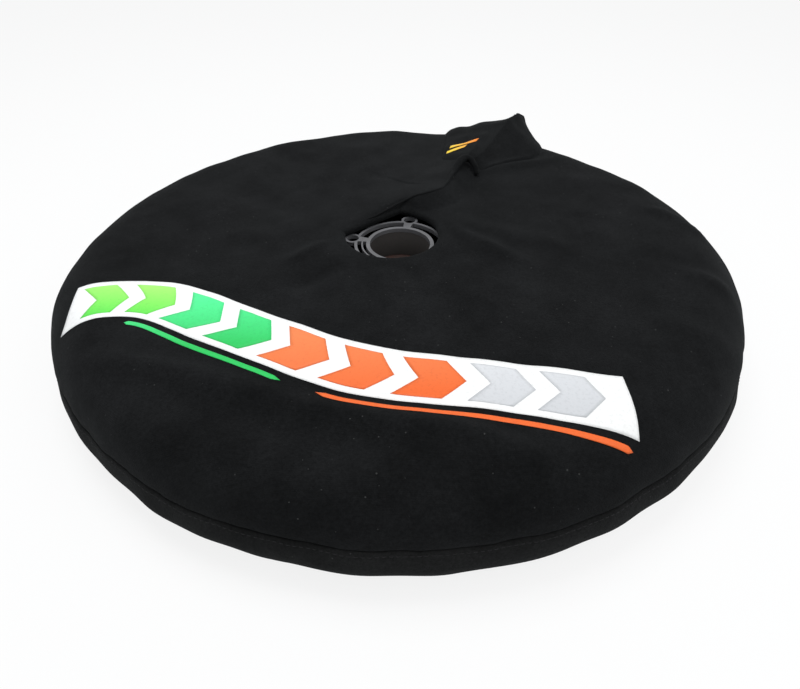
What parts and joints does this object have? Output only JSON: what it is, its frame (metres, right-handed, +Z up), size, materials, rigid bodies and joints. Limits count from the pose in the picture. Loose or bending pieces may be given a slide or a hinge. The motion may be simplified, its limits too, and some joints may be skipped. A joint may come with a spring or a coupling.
{
  "type": "motorcycle tire warmer",
  "caption": "Round black fabric tire warmer cover laid flat: heated blanket inside the rim band, side curtains with elastic hems, closure flap and a cast ring in the opening",
  "frame": {"origin": "on the floor at the middle of the round cover", "axes": "+Z up through the opening, +Y away from the viewer of the picture, +X to the right; the printed graphic is on the -Y side"},
  "size_m": [0.636, 0.6206, 0.1205],
  "materials": {
    "stretch_cloth": "soft matte black stretch knit with lint",
    "band_cloth": "matte black woven cloth",
    "lining_cloth": "dark heat-proof lining cloth",
    "insulation_felt": "grey needled felt",
    "tape_webbing": "black woven tape",
    "silicone": "red-brown silicone sheath",
    "black_rubber": "matte black rubber",
    "brown_rubber": "dark brown rubber",
    "black_plastic": "matte black moulding",
    "cast_metal": "grey satin coated casting",
    "white_ink": "white screen print on cloth",
    "lime_ink": "lime screen print on cloth",
    "green_ink": "green screen print on cloth",
    "orange_ink": "orange screen print on cloth",
    "pale_ink": "pale grey screen print on cloth"
  },
  "bodies": {
    "root": {"lower_side_curtain": "stretch_cloth", "upper_side_curtain": "stretch_cloth", "edge_binding": "stretch_cloth", "outer_band": "band_cloth", "closure_flap": "band_cloth", "heater_carrier": "lining_cloth", "inner_lining": "lining_cloth", "insulation_layer": "insulation_felt", "heating_element": "silicone", "lead_upper": "silicone", "lead_lower": "silicone", "thermal_cutout": "black_plastic", "upper_seam_tape": "tape_webbing", "lower_seam_tape": "tape_webbing", "loop_tape": "tape_webbing", "hook_tape": "tape_webbing", "lower_hem_elastic": "black_rubber", "upper_hem_elastic": "black_rubber", "cable_gland": "black_rubber", "hub_core": "cast_metal", "hub_seal": "brown_rubber", "flap_bar_1": "orange_ink", "flap_bar_2": "orange_ink", "print_ribbon": "white_ink", "print_chevron_1": "lime_ink", "print_chevron_2": "lime_ink", "print_chevron_3": "green_ink", "print_chevron_4": "green_ink", "print_chevron_5": "orange_ink", "print_chevron_6": "orange_ink", "print_chevron_7": "orange_ink", "print_chevron_8": "pale_ink", "print_chevron_9": "pale_ink", "print_sweep_green": "green_ink", "print_sweep_orange": "orange_ink"}
  },
  "joints": []
}
